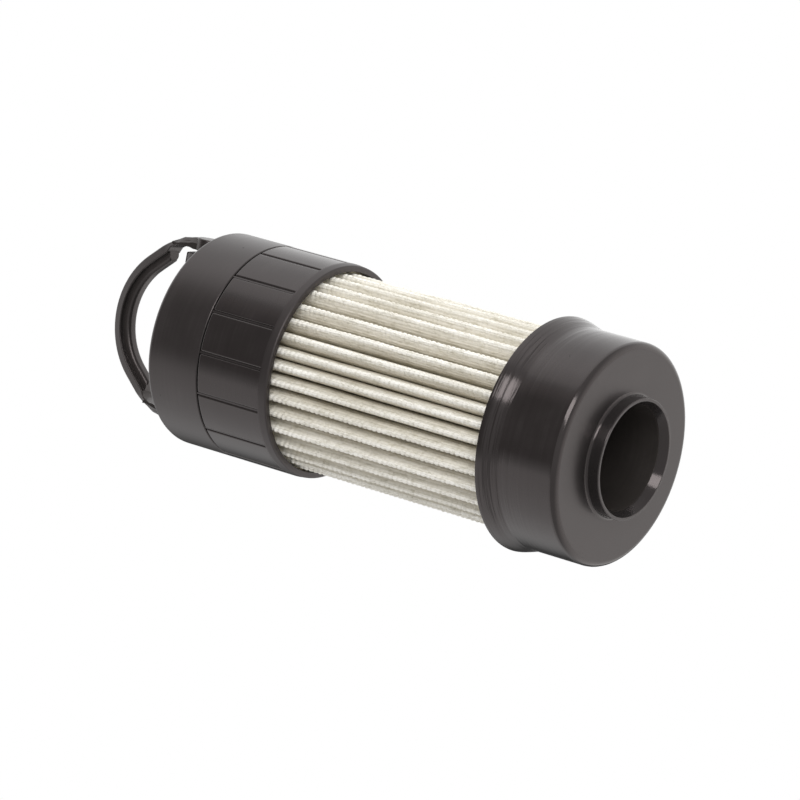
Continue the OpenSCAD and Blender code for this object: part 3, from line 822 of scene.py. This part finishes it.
def soft_box(name, azimuth, elevation, width, height, radiance):
    """Area light aimed at the element's middle. Angles are in degrees and sizes in metres."""
    light = bpy.data.lights.new(name, "AREA")
    light.shape = "RECTANGLE"
    light.size, light.size_y = width, height
    light.energy = radiance * math.pi * width * height
    ob = new_object(name, light)
    a, e = math.radians(azimuth), math.radians(elevation)
    away = Vector((math.cos(e) * math.cos(a), math.cos(e) * math.sin(a), math.sin(e)))
    ob.location = LIGHT_TARGET + away * LIGHT_DISTANCE
    ob.rotation_euler = (-away).to_track_quat("-Z", "Y").to_euler()
    ob.visible_camera = False
    return ob


# Brightness of the surround by azimuth in degrees, with its warmth
SEAM_TURN = 150
AROUND = [
    (-149.9, 1.12, 0), (-122, 1.04, 0), (-116, 0.6, 0), (-107, 0.14, 0.12), (-50, 0.13, 0.12),
    (-36, 0.45, 0.06), (-32, 0.55, 0), (-25, 1.08, 0), (-8, 1.36, 0), (4, 1.28, 0), (20, 1.14, 0),
    (60, 1.22, 0), (92, 1.18, 0), (109, 0.08, 0), (124, 0.06, 0), (131, 0.16, 0), (139, 0.36, 0),
    (147, 0.62, 0), (155, 0.85, 0), (165, 1.02, 0), (178, 1.1, 0), (209.9, 1.12, 0)]
BELOW_WAY, BELOW_FROM, BELOW_TO = (-0.1297, 0.8188, -0.5592), 0.25, 0.8
BELOW_DIM, BELOW_LIT, ABOVE = (0.55, 0.55, 0.55), (1.26, 1.24, 1.22), (1.15, 1.15, 1.15, 1)
HORIZON, HORIZON_TO, OVER_FROM, OVER_TO = 0.5, 0.56, 0.72, 0.86
OFF, ON = (0, 0, 0), (1, 1, 1)


def surround():
    """Bright over +X, softer over -X, dark gaps between, brighter again below, and white for the camera."""
    world = bpy.data.worlds.new("surround")
    scene.world = world
    world.use_nodes = True
    tree = world.node_tree
    tree.nodes.clear()
    out = tree.nodes.new("ShaderNodeOutputWorld")
    way = add(tree, "TexCoord").outputs["Generated"]
    toward = add(tree, "SeparateXYZ", {0: way})
    turn = math_node(tree, "ARCTAN2", toward.outputs["Y"], toward.outputs["X"])
    turn = math_node(tree, "FRACT", scaled(tree, turn, 0.5 / math.pi, SEAM_TURN / 360))
    stops = []
    for azimuth, level, warm in AROUND:
        tint = (level * (1 + warm), level * (1 - 0.3 * warm), level * (1 - 0.6 * warm))
        stops.append((((azimuth + SEAM_TURN) % 360) / 360, tint))
    over = ramp(tree, toward.outputs["Z"], [(OVER_FROM, OFF), (OVER_TO, ON)])
    around = mix_colour(tree, over, ramp(tree, turn, stops), ABOVE)
    facing = add(tree, "VectorMath", {0: way, 1: BELOW_WAY}, operation="DOT_PRODUCT").outputs["Value"]
    below = ramp(tree, facing, [(BELOW_FROM, BELOW_DIM), (BELOW_TO, BELOW_LIT)])
    horizon = ramp(tree, scaled(tree, toward.outputs["Z"], 0.5, 0.5), [(HORIZON, OFF), (HORIZON_TO, ON)])
    tent = add(tree, "Background", {"Color": mix_colour(tree, horizon, below, around), "Strength": 1.0})
    white = add(tree, "Background", {"Color": (1, 1, 1, 1), "Strength": 1.0})
    camera_ray = add(tree, "LightPath").outputs["Is Camera Ray"]
    mixed = add(tree, "MixShader", {0: camera_ray, 1: tent.outputs[0], 2: white.outputs[0]})
    tree.links.new(mixed.outputs[0], out.inputs["Surface"])


# Camera, fitted to the photograph's perspective
LENS, SHIFT, SENSOR, FAR = 224.4, (-0.0006, 0.0001), 36.0, 20.0
CAM_PLACE = (0.2597, -1.5998, -0.9944)
CAM_RIGHT = Vector((0.1885, 0.5793, -0.7930))
CAM_UP = Vector((0.9729, 0.0, 0.2312))
CAM_AHEAD = Vector((-0.13395, 0.81514, 0.5636))


def photo_camera():
    data = bpy.data.cameras.new("camera")
    data.lens, data.sensor_width, data.clip_end = LENS, SENSOR, FAR
    data.shift_x, data.shift_y = SHIFT
    cam = new_object("camera", data)
    turned = Matrix((CAM_RIGHT, CAM_UP, -CAM_AHEAD)).transposed().to_4x4()
    cam.matrix_world = Matrix.Translation(CAM_PLACE) @ turned
    return cam


pale_floor()
soft_box("strip", azimuth=-52, elevation=-22, width=0.62, height=1.5, radiance=5.0)
key_light = soft_box("key", azimuth=4, elevation=12, width=1.1, height=1.1, radiance=1.9)
key_light.visible_glossy = False
surround()
scene.camera = photo_camera()
